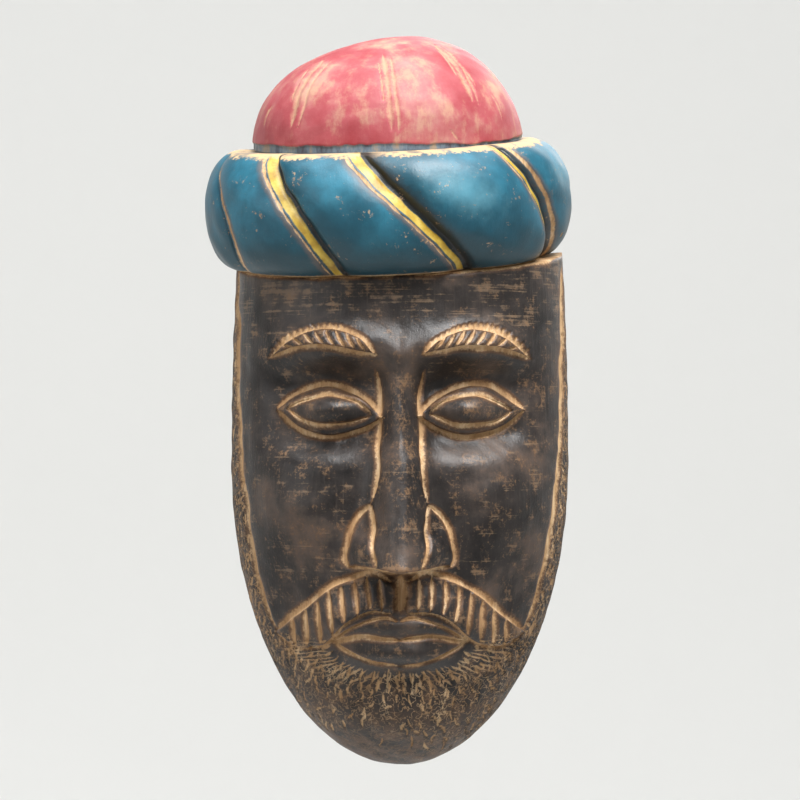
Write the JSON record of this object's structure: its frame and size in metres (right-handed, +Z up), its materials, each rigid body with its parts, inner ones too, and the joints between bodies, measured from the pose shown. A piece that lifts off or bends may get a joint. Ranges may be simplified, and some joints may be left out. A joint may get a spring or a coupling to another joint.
{
  "type": "carved wall mask",
  "caption": "Carved wooden bearded head with a wrapped turban and domed cap, hollow at the back, hung flat on a wall by a swinging ring hanger.",
  "frame": {"origin": "the axis of the nail that carries the ring, where it meets the wall plane behind the turban", "axes": "+Z up, +X to the right of someone looking at the face, the face looks along -Y, and the wall is the plane y = 0"},
  "size_m": [0.1519, 0.0792, 0.3018],
  "materials": {
    "stained_wood": "black-brown stain, cut through to bare wood in the carved lines, satin wax",
    "teal_painted_wood": "teal paint with yellow valleys, rubbed along the edges, satin wax",
    "red_painted_wood": "thin red paint, rubbed through to the wood in places, satin wax",
    "bare_wood": "raw light hardwood",
    "zinc_steel": "zinc plated"
  },
  "bodies": {
    "mask": {"face_block": "stained_wood", "turban_block": "teal_painted_wood", "cap_block": "red_painted_wood", "face_pegs": "bare_wood", "cap_pegs": "bare_wood", "hanger_strap": "zinc_steel", "hanger_screws": "zinc_steel"},
    "ring": {"hanger_ring": "zinc_steel"}
  },
  "joints": [
    {"name": "ring_swing", "type": "hinge", "parent": "mask", "child": "ring", "pos_m": [0, -0.00494, -0.0095], "axis": [-1, 0, 0], "range_deg": [0, 170]}
  ]
}
